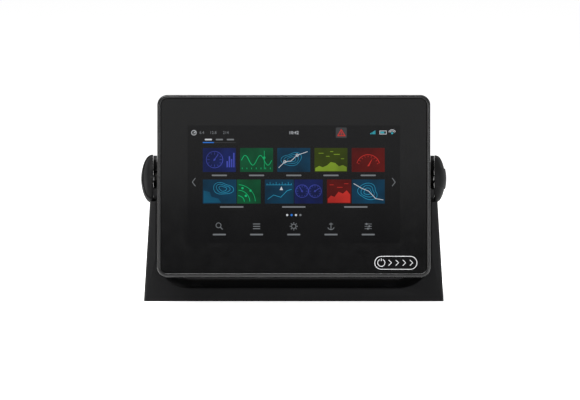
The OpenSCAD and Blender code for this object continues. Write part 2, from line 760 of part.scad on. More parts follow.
module connector_seals() color([0.6, 0.2, 0.15]) on_display()
    for (i = [0:2]) translate([connector_x(i), bay_y, bay_inner]) difference() {
        cylinder(r = neck_r(i) + 1.6, h = connector_seal_t);
        translate([0, 0, -1]) cylinder(r = neck_r(i), h = connector_seal_t + 2);
    }

module connector_nuts() color([0.75, 0.76, 0.78]) on_display()
    for (i = [0:2]) translate([connector_x(i), bay_y, nut_back]) difference() {
        cylinder(r = neck_r(i) + 3.2, h = nut_t, $fn = 6);
        translate([0, 0, -1]) cylinder(r = neck_r(i), h = nut_t + 2);
    }

// ---- card slot ----

module card_socket() color([0.2, 0.2, 0.22]) on_display() translate([card_x, card_y, 0]) difference() {
    translate([0, 0, recess_floor - 0.5])
        linear_extrude(board_back - recess_floor + 0.5) rounded(socket_w, socket_h, 0.5);
    for (sy = [-1, 1])
        translate([-5.8, sy * 2.6 - 0.6, recess_floor - 1.5]) cube([11.6, 1.2, 8]);
}

module card_door() color([0.2, 0.2, 0.21]) on_display() translate([card_x, 0, 0]) difference() {
    union() {
        translate([0, card_y, door_face - door_t]) linear_extrude(door_t) rounded(door_w, door_h, 2);
        translate([0, hinge_y, hinge_z]) along_x(-knuckle_len / 2) cylinder(r = knuckle_r, h = knuckle_len);
        translate([-knuckle_len / 2, hinge_y, door_face - door_t])
            cube([knuckle_len, knuckle_r + 1.5, door_t]);
        // Finger lip along the free edge
        translate([-door_w / 4, card_y + door_h / 2 - 3, door_face - door_t - 0.8])
            cube([door_w / 2, 1.4, 1]);
    }
    translate([0, hinge_y, hinge_z]) along_x(-door_w) cylinder(r = door_pin_r + fit, h = 2 * door_w);
}

module card_door_seal() color([0.3, 0.3, 0.3]) on_display() translate([card_x, 0, 0])
    ring(recess_w + 4.4, recess_h + 4.4, 3.5, 1.8, card_y, door_face, door_face + door_seal_t);

module card_door_pin() color([0.8, 0.8, 0.82]) on_display()
    translate([card_x, hinge_y, hinge_z])
        along_x(-lug_x - lug_len / 2) cylinder(r = door_pin_r, h = 2 * lug_x + lug_len);

// Breathing plug that lets the sealed case follow the air pressure
vent_x = -card_x;
vent_r = 3;
module vent_plug() color([0.35, 0.35, 0.36]) on_display() translate([vent_x, card_y, 0]) {
    difference() {
        translate([0, 0, box_back - 2]) cylinder(r = vent_r + 2.5, h = 2);
        for (k = [0:3]) rotate([0, 0, k * 90])
            translate([vent_r + 1.5, -0.5, box_back - 1]) cube([2, 1, 2]);
    }
    translate([0, 0, box_back - eps]) cylinder(r = vent_r, h = box_wall + 1);
}

// ---- tilt joint ----

module insert(side) color([0.8, 0.65, 0.3]) on_display() on_side(side) difference() {
    along_x(insert_end - insert_len) cylinder(r = insert_r, h = insert_len);
    along_x(insert_end - insert_len + 3) cylinder(r = stud_r + stud_play, h = insert_len);
}

module washer(side) color([0.85, 0.85, 0.82]) on_display() on_side(side) difference() {
    along_x(washer_in) cylinder(r = washer_r, h = washer_t);
    along_x(washer_in - 1) cylinder(r = stud_r + 0.2, h = washer_t + 2);
}

// Half section of a dome: a flat arc over the middle, and a tight one tangent to it at the edge
module dome_section(r, h) {
    tip_r = h * 0.58;
    tip_x = r - tip_r;
    crown_r = (tip_x * tip_x + h * h - tip_r * tip_r) / (2 * (h - tip_r));
    reach = tip_x * crown_r / (crown_r - tip_r);
    intersection() {
        translate([0, h - crown_r]) circle(crown_r, $fn = 128);
        square([reach, h]);
    }
    intersection() {
        translate([tip_x, 0]) circle(tip_r);
        square([r, h]);
    }
}

module knob(side, turn) color([0.2, 0.2, 0.21]) on_display() on_side(side)
    translate([knob_in, 0, 0]) rotate([turn, 0, 0]) rotate([0, 90, 0]) difference() {
        union() {
            rotate_extrude() dome_section(knob_r, knob_h);
            intersection() {
                rotate_extrude() dome_section(knob_r + wing_h / 2, knob_h + wing_h);
                linear_extrude(knob_h + wing_h + 1) for (k = [0:wings - 1])
                    rotate([0, 0, k * 360 / wings]) translate([0, -wing_w / 2]) square([knob_r + 2, wing_w]);
            }
        }
        for (k = [0:wings - 1])
            rotate([0, 0, (k + 0.5) * 360 / wings])
                translate([knob_r + scallop_r - scallop_d, 0, -1]) cylinder(r = scallop_r, h = knob_h + 2);
        translate([0, 0, -1]) cylinder(r = washer_r + 0.4, h = knob_seat - knob_in + 1);
        translate([0, 0, -1]) cylinder(r = stud_hex_r + fit, h = knob_seat - knob_in + stud_head_t + 1 + fit, $fn = 6);
    }

module stud(side, turn) color([0.8, 0.8, 0.82]) on_display() on_side(side)
    rotate([turn, 0, 0]) {
        along_x(knob_seat) cylinder(r = stud_hex_r, h = stud_head_t, $fn = 6);
        along_x(knob_seat - stud_len) cylinder(r = stud_r, h = stud_len + eps);
    }

left_turn = 84;
right_turn = 0;
module left_insert() insert(-1);
module right_insert() insert(1);
module left_washer() washer(-1);
module right_washer() washer(1);
module left_knob() knob(-1, left_turn);
module right_knob() knob(1, right_turn);
module left_stud() stud(-1, left_turn);
module right_stud() stud(1, right_turn);

// ---- bracket ----

function arm_out(z) = base_w / 2 - z * tan(arm_lean);

// Front view of the U, with its walls moved in by inset
module u_outline(inset) difference() {
    polygon([
        [-arm_out(0) + inset, 0], [arm_out(0) - inset, 0],
        [arm_out(bracket_top) - inset, bracket_top], [-arm_out(bracket_top) + inset, bracket_top]
    ]);
    translate([-arm_in - inset, base_t + inner_r]) square([arm_gap + 2 * inset, bracket_top]);
    translate([-arm_in + inner_r, base_t - inset]) square([arm_gap - 2 * inner_r, bracket_top]);
    for (sx = [-1, 1])
        translate([sx * (arm_in - inner_r), base_t + inner_r]) circle(inner_r + inset);
}

// Side view of the foot and arm below the ledge: upright in front, swept forward at the back
module side_outline(inset) difference() {
    translate([front_y + inset, 0]) square([base_depth - 2 * inset, ledge_z - inset]);
    difference() {
        translate([pivot_y + head_r + sweep_r, pivot_z]) circle(sweep_r + inset, $fn = 128);
        translate([0, -base_t]) square([base_depth, 2 * base_t]);
    }
}

// Side view of the head: round, and joined to the arm's swept back edge
module head_outline() {
    translate([pivot_y, pivot_z]) circle(head_r);
    difference() {
        translate([pivot_y, ledge_z - 3]) square([head_r + 6, ledge_drop + 3]);
        translate([pivot_y + head_r + sweep_r, pivot_z]) circle(sweep_r, $fn = 128);
    }
    translate([pivot_y - head_r / 2, ledge_z - 3]) square([head_r, 4]);
}

// The collar's seat, open to the front under a short throat and a flared lip
module slot_outline() translate([pivot_y, pivot_z]) {
    circle(slot_r);
    polygon([
        [0, -slot_r], [-2 * head_r, -slot_r], [-2 * head_r, head_r + 4],
        [-throat - 7, head_r + 4], [-throat, slot_r], [0, slot_r]
    ]);
}

module from_front(depth) rotate([90, 0, 0]) linear_extrude(depth, center = true) children();
module from_side(width) rotate([90, 0, 90]) linear_extrude(width, center = true) children();

module base_plan(inset) {
    translate([-base_w / 2, front_y + inset]) square([base_w, base_depth / 2]);
    rounded(base_w - 2 * inset, base_depth - 2 * inset, foot_r - inset);
}

// Hollow of the foot, open below, with its ribs and screw bosses left standing
module foot_hollow() difference() {
    intersection() {
        from_front(base_depth) u_outline(skin_t);
        from_side(base_w) side_outline(skin_t);
        linear_extrude(base_t + inner_r) base_plan(skin_t);
    }
    for (i = [-2:2])
        translate([i * fix_x / 4 - rib_t / 2, front_y, -1]) cube([rib_t, base_depth, base_t + inner_r]);
    translate([-base_w / 2, -rib_t / 2, -1]) cube([base_w, rib_t, base_t + inner_r]);
    for (sx = [-1, 1], sy = [-1, 1])
        translate([sx * fix_x / 2, sy * fix_y / 2, -1]) cylinder(r = sink_r + rib_t, h = base_t + 2);
}

// Section that cuts a square corner back to a quarter circle
module edge_cutter() difference() {
    translate([-1, -1]) square(edge_r + 1);
    translate([edge_r, edge_r]) circle(edge_r);
}

module front_rounding() {
    run = arm_in - inner_r;
    // Edge between the front face and the inside of the U: base, corners and arms
    translate([-run, 0, 0]) rotate([90, 0, 90]) linear_extrude(2 * run)
        translate([front_y, base_t]) mirror([0, 1]) edge_cutter();
    for (side = [-1, 1]) on_side(side) {
        translate([run, 0, base_t + inner_r]) rotate([-90, 0, 0])
            rotate_extrude(angle = 90) translate([inner_r, front_y]) edge_cutter();
        translate([arm_in, front_y, base_t + inner_r]) linear_extrude(bracket_top) edge_cutter();
        // Edge between the front face and the arm's outer face
        translate([arm_out(0), front_y, 0]) rotate([0, -arm_lean, 0]) translate([0, 0, -5])
            linear_extrude(bracket_top + 10) mirror([1, 0]) edge_cutter();
    }
}

module arm_head() difference() {
    union() {
        translate([arm_in, 0, 0]) rotate([90, 0, 90]) linear_extrude(web_t) head_outline();
        translate([arm_in, pivot_y, pivot_z]) tooth_bars(0);
    }
    translate([arm_in - 2, 0, 0]) rotate([90, 0, 90]) linear_extrude(web_t + 4) slot_outline();
}

module trunnion_bracket() color([0.17, 0.17, 0.18]) {
    difference() {
        intersection() {
            from_front(base_depth + 2) u_outline(0);
            from_side(base_w + 2) side_outline(0);
            linear_extrude(bracket_top) base_plan(0);
        }
        foot_hollow();
        front_rounding();
        for (side = [-1, 1]) on_side(side)
            translate([0, pivot_y, pivot_z]) along_x(arm_in + web_t) cylinder(r = knob_pocket_r, h = 20);
        for (sx = [-1, 1], sy = [-1, 1]) translate([sx * fix_x / 2, sy * fix_y / 2, -1]) {
            cylinder(r = fix_r, h = base_t + 2);
            translate([0, 0, base_t + 1 - (sink_r - fix_r)])
                cylinder(r1 = fix_r, r2 = sink_r + 1, h = sink_r - fix_r + 1);
        }
    }
    for (side = [-1, 1]) on_side(side) arm_head();
}

trunnion_bracket();
front_bezel();
cover_glass();
glass_adhesive();
optical_bond();
lcd_panel();
backlight_tray();
power_slide_sensor();
front_chassis();
chassis_screws();
case_seal();
rear_housing();
case_screws();
heat_sink();
heat_sink_seal();
heat_sink_screws();
thermal_pad();
processor_shield();
main_board();
board_components();
board_screws();
gnss_antenna();
alarm_buzzer();
display_ribbon();
power_connector();
network_connector();
transducer_connector();
connector_seals();
connector_nuts();
card_socket();
card_door();
card_door_seal();
card_door_pin();
vent_plug();
left_insert();
right_insert();
left_washer();
right_washer();
left_knob();
right_knob();
left_stud();
right_stud();
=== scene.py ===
import json
import math

import bmesh
import bpy
from mathutils import Matrix, Vector

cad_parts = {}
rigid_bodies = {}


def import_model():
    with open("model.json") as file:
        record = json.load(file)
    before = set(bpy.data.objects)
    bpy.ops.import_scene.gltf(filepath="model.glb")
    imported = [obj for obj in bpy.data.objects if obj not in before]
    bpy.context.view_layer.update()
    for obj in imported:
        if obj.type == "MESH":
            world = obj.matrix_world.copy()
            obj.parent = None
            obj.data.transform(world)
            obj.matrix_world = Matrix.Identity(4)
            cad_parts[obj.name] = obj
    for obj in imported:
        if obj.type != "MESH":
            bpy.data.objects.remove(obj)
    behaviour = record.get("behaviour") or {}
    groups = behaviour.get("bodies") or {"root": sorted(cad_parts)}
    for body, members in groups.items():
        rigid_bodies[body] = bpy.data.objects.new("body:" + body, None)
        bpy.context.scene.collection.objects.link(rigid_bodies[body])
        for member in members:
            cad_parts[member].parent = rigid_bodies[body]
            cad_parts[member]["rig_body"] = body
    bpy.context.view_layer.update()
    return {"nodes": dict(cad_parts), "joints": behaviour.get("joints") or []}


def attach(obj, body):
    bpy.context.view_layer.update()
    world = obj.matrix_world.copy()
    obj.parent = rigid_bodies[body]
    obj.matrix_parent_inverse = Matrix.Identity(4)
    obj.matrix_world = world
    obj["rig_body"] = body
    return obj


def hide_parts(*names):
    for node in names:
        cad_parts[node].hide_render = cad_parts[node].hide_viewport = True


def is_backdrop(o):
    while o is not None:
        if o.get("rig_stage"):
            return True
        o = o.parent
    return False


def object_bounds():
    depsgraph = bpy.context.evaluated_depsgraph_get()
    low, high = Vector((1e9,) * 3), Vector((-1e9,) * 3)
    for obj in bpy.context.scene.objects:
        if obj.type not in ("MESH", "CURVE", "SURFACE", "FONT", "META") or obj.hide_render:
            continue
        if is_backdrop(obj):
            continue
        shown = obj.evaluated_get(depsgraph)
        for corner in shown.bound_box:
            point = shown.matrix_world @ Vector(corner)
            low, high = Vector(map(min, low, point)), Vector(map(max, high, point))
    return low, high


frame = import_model()
nodes = frame["nodes"]
MM = 0.001


def add_object(name, data):
    """Puts a new object with this data into the scene."""
    new = bpy.data.objects.new(name, data)
    bpy.context.scene.collection.objects.link(new)
    return new


# ---- frames: the display's own axes (right, up the screen, out of the screen) ----

joints = {j["name"]: j for j in frame["joints"]}
PIVOT = Vector(joints["display_tilt"]["pos_m"])
LEAN = math.radians(11)  # how far the screen leans back at rest
DISPLAY = Matrix.Translation(PIVOT) @ Matrix.Rotation(math.pi / 2 - LEAN, 4, "X")
TO_DISPLAY = DISPLAY.inverted()


def on_display(x, y, z):
    """A point of the display's own axes, in millimetres, as one of the row frame, in metres."""
    return DISPLAY @ Vector((x * MM, y * MM, z * MM))


def display_box(node):
    """Corners of a node in the display's own axes, in millimetres."""
    points = [TO_DISPLAY @ v.co for v in nodes[node].data.vertices]
    low = Vector([min(p[i] for p in points) for i in range(3)]) / MM
    high = Vector([max(p[i] for p in points) for i in range(3)]) / MM
    return low, high


GLASS_FACE = display_box("cover_glass")[1].z
GLASS_ROUGH = 0.16
GLASS_SPECULAR = 0.4
GLASS_SMEAR = 0.03  # how much fingers change its roughness

# The lit area lies inside the panel's frame, which is wider at the bottom, at its driver edge
FRAME_EDGE = 4.4
DRIVER_EDGE = 8
panel_low, panel_high = display_box("lcd_panel")
screen_low = Vector((panel_low.x + FRAME_EDGE, panel_low.y + DRIVER_EDGE))
screen_high = Vector((panel_high.x - FRAME_EDGE, panel_high.y - FRAME_EDGE))

# ---- camera ----

ELEVATION = math.radians(6)
DISTANCE = 12.0
SENSOR = 36  # mm
VIEW_WIDTH = 0.4208  # metres across the picture, at the target
CLIP_END = 50
target = Vector((-2.74, -60, 76.28)) * MM

camera_data = bpy.data.cameras.new("camera")
camera_data.sensor_width = SENSOR
camera_data.lens = SENSOR * DISTANCE / VIEW_WIDTH
camera_data.clip_end = CLIP_END
camera = add_object("camera", camera_data)
camera.location = target + DISTANCE * Vector((0, -math.cos(ELEVATION), math.sin(ELEVATION)))
camera.rotation_euler = (math.pi / 2 - ELEVATION, 0, 0)
bpy.context.scene.camera = camera

# ---- materials ----


class Tree:
    """Adds nodes to a material or the world, and links them."""

    def __init__(self, owner):
        owner.use_nodes = True
        self.tree = owner.node_tree
        self.tree.nodes.clear()

    def add(self, kind, inputs=None, **settings):
        node = self.tree.nodes.new(kind)
        for key, value in settings.items():
            setattr(node, key, value)
        for key, value in (inputs or {}).items():
            if isinstance(value, bpy.types.NodeSocket):
                self.tree.links.new(value, node.inputs[key])
            else:
                node.inputs[key].default_value = value
        return node

    def mix(self, factor, a, b):
        """Colour a at factor 0 and colour b at 1: sockets 0, 6 and 7 are the colour mix's own."""
        return self.add("ShaderNodeMix", {0: factor, 6: a, 7: b}, data_type="RGBA").outputs[2]

    def combine(self, operation, a, b):
        return self.add("ShaderNodeMath", {0: a, 1: b}, operation=operation).outputs[0]

    def noise(self, vector, scale, detail=2.0, roughness=0.5):
        inputs = {"Vector": vector, "Scale": scale, "Detail": detail, "Roughness": roughness}
        return self.add("ShaderNodeTexNoise", inputs).outputs["Fac"]

    def ranged(self, value, a, b, c, d):
        """Maps a value between a and b to one between c and d."""
        inputs = {"Value": value, "From Min": a, "From Max": b, "To Min": c, "To Max": d}
        return self.add("ShaderNodeMapRange", inputs).outputs["Result"]

    def surface_is(self, kind, inputs, output="ShaderNodeOutputMaterial"):
        """Ends the tree with one shader."""
        self.add(output, {"Surface": self.add(kind, inputs).outputs[0]})


def rgba(color, gain=1.0):
    return (color[0] * gain, color[1] * gain, color[2] * gain, 1.0)


CLOUD, SPECK_DETAIL, SMUDGE = 45, 3, 120  # noise cells per metre, and the speck's octaves
SPECK_TINT, SPECK_GAIN = 0.35, 1.25       # the grain's tops are this much paler
WORN_HIGHLIT_GAIN, WORN_HIGHLIT_LIFT = 2.2, 0.02          # colour of an edge, part wear and part painted edge highlight


def surface(name, color, rough, metallic=0.0, specular=0.5, grain=(900, 0.1, 0.02), mottle=0.12,
            smear=0.06, edge_wear_and_highlight=0.0, stretch=None):
    """Procedural material: mottled colour, uneven gloss, a grain in relief, and paler edges that
    are part wear and part painted edge highlight.
    grain is (cells per metre, strength, depth in mm); stretch squeezes it into brush lines."""
    cells, strength, depth = grain
    material = bpy.data.materials.new(name)
    t = Tree(material)
    place = t.add("ShaderNodeTexCoord").outputs["Object"]
    fine = place
    if stretch:
        fine = t.add("ShaderNodeMapping", {"Vector": place, "Scale": stretch}).outputs["Vector"]
    cloud = t.noise(place, CLOUD, 3)
    speck = t.noise(fine, cells, SPECK_DETAIL, 0.6)
    tint = t.mix(cloud, rgba(color, 1 - mottle), rgba(color, 1 + mottle))
    tint = t.mix(t.ranged(speck, 0.35, 0.75, 0, SPECK_TINT), tint, rgba(color, SPECK_GAIN))
    # Convex edges are made paler: partly wear, partly a painted highlight that stands in for light
    # catching rounded edges.
    if edge_wear_and_highlight:
        edge = t.add("ShaderNodeNewGeometry").outputs["Pointiness"]
        worn_and_highlit = rgba([min(1, c * WORN_HIGHLIT_GAIN + WORN_HIGHLIT_LIFT) for c in color])
        tint = t.mix(t.ranged(edge, 0.52, 0.62, 0, edge_wear_and_highlight), tint, worn_and_highlit)
    gloss = t.ranged(t.noise(place, SMUDGE, 4), 0.3, 0.7, rough - smear, rough + smear)
    relief = t.add("ShaderNodeBump", {
        "Height": speck, "Strength": strength, "Distance": depth * MM})
    t.surface_is("ShaderNodeBsdfPrincipled", {
        "Base Color": tint, "Roughness": gloss, "Metallic": metallic,
        "Specular IOR Level": specular, "Normal": relief.outputs["Normal"]})
    return material


# Plastics and rubber
case_plastic = surface("case_plastic", (0.015, 0.015, 0.016), 0.6, specular=0.2,
                       grain=(1600, 0.25, 0.03), edge_wear_and_highlight=0.4)
rim_plastic = surface("rim_plastic", (0.007, 0.007, 0.0073), 0.22, specular=0.27,
                      grain=(2600, 0.08, 0.01), edge_wear_and_highlight=0.2)
bracket_plastic = surface("bracket_plastic", (0.0135, 0.0135, 0.014), 0.7, specular=0.0,
                          grain=(1500, 0.3, 0.03), edge_wear_and_highlight=0.5)
knob_plastic = surface("knob_plastic", (0.0072, 0.0072, 0.0075), 0.6, specular=0.08,
                       grain=(1700, 0.2, 0.02), edge_wear_and_highlight=0.12)
socket_black = surface("socket_black", (0.015, 0.015, 0.016), 0.42, specular=0.4,
                       grain=(1800, 0.15, 0.02), edge_wear_and_highlight=0.4)
nylon = surface("nylon", (0.02, 0.02, 0.02), 0.5, grain=(1500, 0.15, 0.02))
rubber = surface("rubber", (0.012, 0.012, 0.012), 0.75, specular=0.3, grain=(900, 0.3, 0.03))

# Glass and panel
glass_black = surface("glass_black", (0.002, 0.002, 0.0022), GLASS_ROUGH,
                      specular=GLASS_SPECULAR, grain=(60, 0.01, 0.01), mottle=0.05,
                      smear=GLASS_SMEAR)
panel_dark = surface("panel_dark", (0.03, 0.035, 0.05), 0.2, grain=(900, 0.05, 0.01))

# Metals
sink_black = surface("sink_black", (0.02, 0.02, 0.021), 0.5, metallic=0.6,
                     grain=(700, 0.5, 0.06), edge_wear_and_highlight=0.5)
insert_metal = surface("insert_metal", (0.012, 0.011, 0.01), 0.6, metallic=0.6,
                       grain=(1500, 0.15, 0.01))
aluminium = surface("aluminium", (0.72, 0.73, 0.75), 0.35, metallic=1.0,
                    grain=(500, 0.2, 0.02), stretch=(1, 0.05, 1))
steel = surface("steel", (0.6, 0.6, 0.61), 0.3, metallic=1.0, grain=(1400, 0.2, 0.01), edge_wear_and_highlight=0.2)
nickel = surface("nickel", (0.62, 0.6, 0.55), 0.25, metallic=1.0,
                 grain=(1500, 0.15, 0.01), edge_wear_and_highlight=0.2)

# Boards and what is on them
board_green = surface("board_green", (0.02, 0.14, 0.06), 0.35, grain=(500, 0.1, 0.02))
chip_black = surface("chip_black", (0.03, 0.03, 0.033), 0.5, grain=(2500, 0.2, 0.01))
ceramic = surface("ceramic", (0.62, 0.56, 0.45), 0.5, grain=(1500, 0.15, 0.01))
film = surface("film", (0.55, 0.3, 0.06), 0.3, grain=(300, 0.1, 0.02))
pad = surface("pad", (0.3, 0.4, 0.55), 0.8, grain=(1500, 0.2, 0.02))

MADE_OF = (
    (bracket_plastic, "trunnion_bracket"),
    (rim_plastic, "front_bezel"),
    (glass_black, "cover_glass"),
    (case_plastic, "rear_housing card_door"),
    (knob_plastic, "left_knob right_knob"),
    (sink_black, "heat_sink"),
    (panel_dark, "optical_bond lcd_panel"),
    (rubber, "glass_adhesive case_seal heat_sink_seal connector_seals card_door_seal"),
    (aluminium, "backlight_tray front_chassis"),
    (steel, "chassis_screws case_screws heat_sink_screws board_screws card_door_pin"),
    (steel, "left_stud right_stud"),
    (film, "power_slide_sensor display_ribbon"),
    (nickel, "processor_shield connector_nuts"),
    (socket_black, "power_connector network_connector transducer_connector"),
    (socket_black, "card_socket vent_plug"),
    (board_green, "main_board"),
    (chip_black, "board_components alarm_buzzer"),
    (ceramic, "gnss_antenna"),
    (pad, "thermal_pad"),
    (insert_metal, "left_insert right_insert"),
    (nylon, "left_washer right_washer"),
)
NODE_MATERIALS = {node: material for material, names in MADE_OF for node in names.split()}
for name, node in nodes.items():
    node.data.materials.clear()
    node.data.materials.append(NODE_MATERIALS[name])

# ---- pieces ----


MOULDED_SMOOTH, PLATE_SMOOTH = 35, 40  # edges with a smaller angle, in degrees, are shaded smooth
SEAM = 1e-6                            # vertices closer than this are one
FLAT_WEIGHT = 90                       # how far large faces lead the shading


def mesh_object(name, bm, materials, body, smooth_angle):
    """Turns a bmesh in the row frame into a piece with smooth faces and sharp edges."""
    bmesh.ops.recalc_face_normals(bm, faces=bm.faces)
    limit = math.radians(smooth_angle)
    for face in bm.faces:
        face.smooth = True
    for edge in bm.edges:
        edge.smooth = len(edge.link_faces) == 2 and edge.calc_face_angle(0) < limit
    mesh = bpy.data.meshes.new(name)
    bm.to_mesh(mesh)
    bm.free()
    for material in materials:
        mesh.materials.append(material)
    piece = add_object(name, mesh)
    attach(piece, body)
    return piece


def dressed(node, name, shape=None):
    """A copy of a CAD node with its seams joined and its curved faces shaded smooth."""
    bm = bmesh.new()
    bm.from_mesh(nodes[node].data)
    bmesh.ops.remove_doubles(bm, verts=bm.verts, dist=SEAM)
    if shape:
        shape(bm)
    body = nodes[node]["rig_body"]
    piece = mesh_object(name, bm, [NODE_MATERIALS[node]], body, MOULDED_SMOOTH)
    flats = piece.modifiers.new("flat_faces_lead", "WEIGHTED_NORMAL")
    flats.mode = "FACE_AREA"
    flats.weight = FLAT_WEIGHT
    flats.keep_sharp = True
    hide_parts(node)


CROWN_DROP, SHOULDER_LIFT = 0.035, 0.35  # shares of the dome's height
SHAPED_FROM = 0.12                       # the knob's foot below this share keeps its form


def full_shoulders(bm):
    """Moulded knobs have fuller shoulders and a flatter crown than a plain dome."""
    reach = [abs(v.co.x) for v in bm.verts]
    foot, crown = min(reach), max(reach)
    radius = max((v.co.yz - PIVOT.yz).length for v in bm.verts)
    for v in bm.verts:
        rise = (abs(v.co.x) - foot) / (crown - foot)
        share = (v.co.yz - PIVOT.yz).length / radius
        if rise > SHAPED_FROM:
            shoulder = SHOULDER_LIFT * share ** 4 * rise * (1 - share ** 8)
            lift = 1 - CROWN_DROP * (1 - share ** 2) + shoulder
            v.co.x = math.copysign(foot + (crown - foot) * rise * lift, v.co.x)


for node, name, slot in [
    ("trunnion_bracket", "bracket_moulding", "bracket_plastic"),
    ("front_bezel", "bezel_moulding", "bezel_plastic"),
    ("rear_housing", "housing_moulding", "case_plastic"),
    ("heat_sink", "finned_heat_sink", "sink_aluminium"),
    ("left_knob", "left_knob_moulding", "knob_plastic"),
    ("right_knob", "right_knob_moulding", "knob_plastic"),
    ("card_door", "card_door_moulding", "case_plastic"),
    ("cover_glass", "front_glass", "screen_glass"),
]:
    dressed(node, name, shape=full_shoulders if "knob" in node else None)

# ---- the lit screen: thin plates on the glass, in millimetres from the screen's centre ----

LAYER = 0.008        # each layer stands this much above the one below
PLATE_ROOT = 0.1     # how deep the plates reach into the glass
NUMERAL_HALF = 0.04  # half of the numerals' thickness
MITRE_LIMIT = 0.4    # keeps a line's sharp corners short


def glow(name, color, spread=0.0, specular=0.15):
    """Lit picture under the gloss of the glass; spread makes it uneven."""
    material = bpy.data.materials.new(name)
    t = Tree(material)
    place = t.add("ShaderNodeTexCoord").outputs["Object"]
    cloud = t.ranged(t.noise(place, 55, 2), 0.3, 0.7, 0, 1)
    tint = t.mix(cloud, rgba(color, 1 - spread), rgba(color, 1 + spread))
    smudge = t.ranged(t.noise(place, 35, 4), 0.3, 0.7,
                      GLASS_ROUGH - GLASS_SMEAR, GLASS_ROUGH + GLASS_SMEAR)
    t.surface_is("ShaderNodeBsdfPrincipled", {
        "Base Color": (0.002, 0.002, 0.0022, 1), "Roughness": smudge,
        "Specular IOR Level": specular, "Emission Color": tint, "Emission Strength": 1.0})
    return material


def polar(x, y, r, degrees):
    """The point at a distance and an angle from x, y."""
    a = math.radians(degrees)
    return x + r * math.cos(a), y + r * math.sin(a)


class Picture:
    """Collects flat shapes of one mesh: each is a thin closed plate with a material of its own."""

    def __init__(self, centre):
        self.bm = bmesh.new()
        self.centre = centre
        self.materials = []

    def index(self, material):
        if material not in self.materials:
            self.materials.append(material)
        return self.materials.index(material)

    def vert(self, x, y, z):
        return self.bm.verts.new(on_display(self.centre.x + x, self.centre.y + y, z))

    def plate(self, points, layer, material):
        """points is one closed outline, counter-clockwise; layer counts up from the glass."""
        index = self.index(material)
        front, back = [], []
        for x, y in points:
            front.append(self.vert(x, y, GLASS_FACE + layer * LAYER))
            back.append(self.vert(x, y, GLASS_FACE - PLATE_ROOT))
        count = len(points)
        self.bm.faces.new(front).material_index = index
        self.bm.faces.new(back[::-1]).material_index = index
        for i in range(count):
            j = (i + 1) % count
            self.bm.faces.new((front[j], front[i], back[i], back[j])).material_index = index

    def box(self, x0, y0, x1, y1, layer, material, r=0.0):
        """A rectangle between two corners, with rounded corners where r is given."""
        if r <= 0:
            self.plate([(x0, y0), (x1, y0), (x1, y1), (x0, y1)], layer, material)
            return
        corners = ((x1 - r, y0 + r, -90), (x1 - r, y1 - r, 0), (x0 + r, y1 - r, 90),
                   (x0 + r, y0 + r, 180))
        points = [polar(cx, cy, r, start + 22.5 * k) for cx, cy, start in corners for k in range(5)]
        self.plate(points, layer, material)

    def disc(self, x, y, r, layer, material, sides=24):
        self.plate([polar(x, y, r, 360 * k / sides) for k in range(sides)], layer, material)

    def line(self, points, width, layer, material, closed=False):
        """A ribbon along points, mitred at its corners."""
        pts = [Vector(p) for p in points]
        count = len(pts)
        left, right = [], []
        for i in range(count):
            has_before, has_after = i > 0 or closed, i < count - 1 or closed
            onward = (pts[(i + 1) % count] - pts[i]).normalized() if has_after else None
            a = (pts[i] - pts[i - 1]).normalized() if has_before else onward
            b = onward if has_after else a
            normal = Vector((-(a.y + b.y), a.x + b.x)).normalized()
            reach = width / 2 / max(MITRE_LIMIT, normal.dot(Vector((-a.y, a.x))))
            left.append(pts[i] + normal * reach)
            right.append(pts[i] - normal * reach)
        for i in range(count if closed else count - 1):
            j = (i + 1) % count
            self.plate([right[i], right[j], left[j], left[i]], layer, material)

    def arc(self, x, y, r, start, end, width, layer, material, steps=24):
        turn = (end - start) / steps
        points = [polar(x, y, r, start + turn * k) for k in range(steps + 1)]
        self.line(points, width, layer, material)

    def ring(self, x, y, r, width, layer, material, sides=28):
        points = [polar(x, y, r, 360 * k / sides) for k in range(sides)]
        self.line(points, width, layer, material, closed=True)

    def number(self, text, x, y, size, layer, material, align="LEFT"):
        """Plain numerals, as thin solids."""
        curve = bpy.data.curves.new("numeral", "FONT")
        curve.body = text
        curve.size = size
        curve.align_x = align
        curve.extrude = NUMERAL_HALF
        curve.resolution_u = 2
        holder = add_object("numeral", curve)
        bpy.context.view_layer.update()
        mesh = holder.evaluated_get(bpy.context.evaluated_depsgraph_get()).to_mesh()
        index = self.index(material)
        middle = GLASS_FACE + layer * LAYER - NUMERAL_HALF
        verts = [self.vert(x + v.co.x, y + v.co.y, middle + v.co.z) for v in mesh.vertices]
        for polygon in mesh.polygons:
            self.bm.faces.new([verts[i] for i in polygon.vertices]).material_index = index
        holder.to_mesh_clear()
        bpy.data.objects.remove(holder)
        bpy.data.curves.remove(curve)

    def piece(self, name):
        mesh_object(name, self.bm, self.materials, "display", PLATE_SMOOTH)


WHITE = glow("lit_white", (0.55, 0.57, 0.6))
GREY = glow("lit_grey", (0.16, 0.17, 0.18))
DIM = glow("lit_dim", (0.035, 0.036, 0.038), 0.2)
TEAL = glow("lit_teal", (0.03, 0.34, 0.42))
CYAN = glow("lit_cyan", (0.015, 0.22, 0.36), 0.25)
BLUE = glow("lit_blue", (0.0005, 0.026, 0.056), 0.45)
SEA = glow("lit_sea", (0.002, 0.06, 0.115), 0.35)
GREEN = glow("lit_green", (0.0005, 0.055, 0.019), 0.4)
LEAF = glow("lit_leaf", (0.002, 0.36, 0.12), 0.3)
OLIVE = glow("lit_olive", (0.024, 0.037, 0.0005), 0.35)
LIME = glow("lit_lime", (0.16, 0.25, 0.015), 0.3)
INDIGO = glow("lit_indigo", (0.0035, 0.009, 0.068), 0.4)
VIOLET = glow("lit_violet", (0.04, 0.055, 0.33), 0.3)
RED = glow("lit_red", (0.075, 0.0025, 0.0015), 0.4)
SCARLET = glow("lit_scarlet", (0.42, 0.02, 0.014), 0.25)
PAGE_BLUE = glow("lit_page_blue", (0.02, 0.16, 0.6))
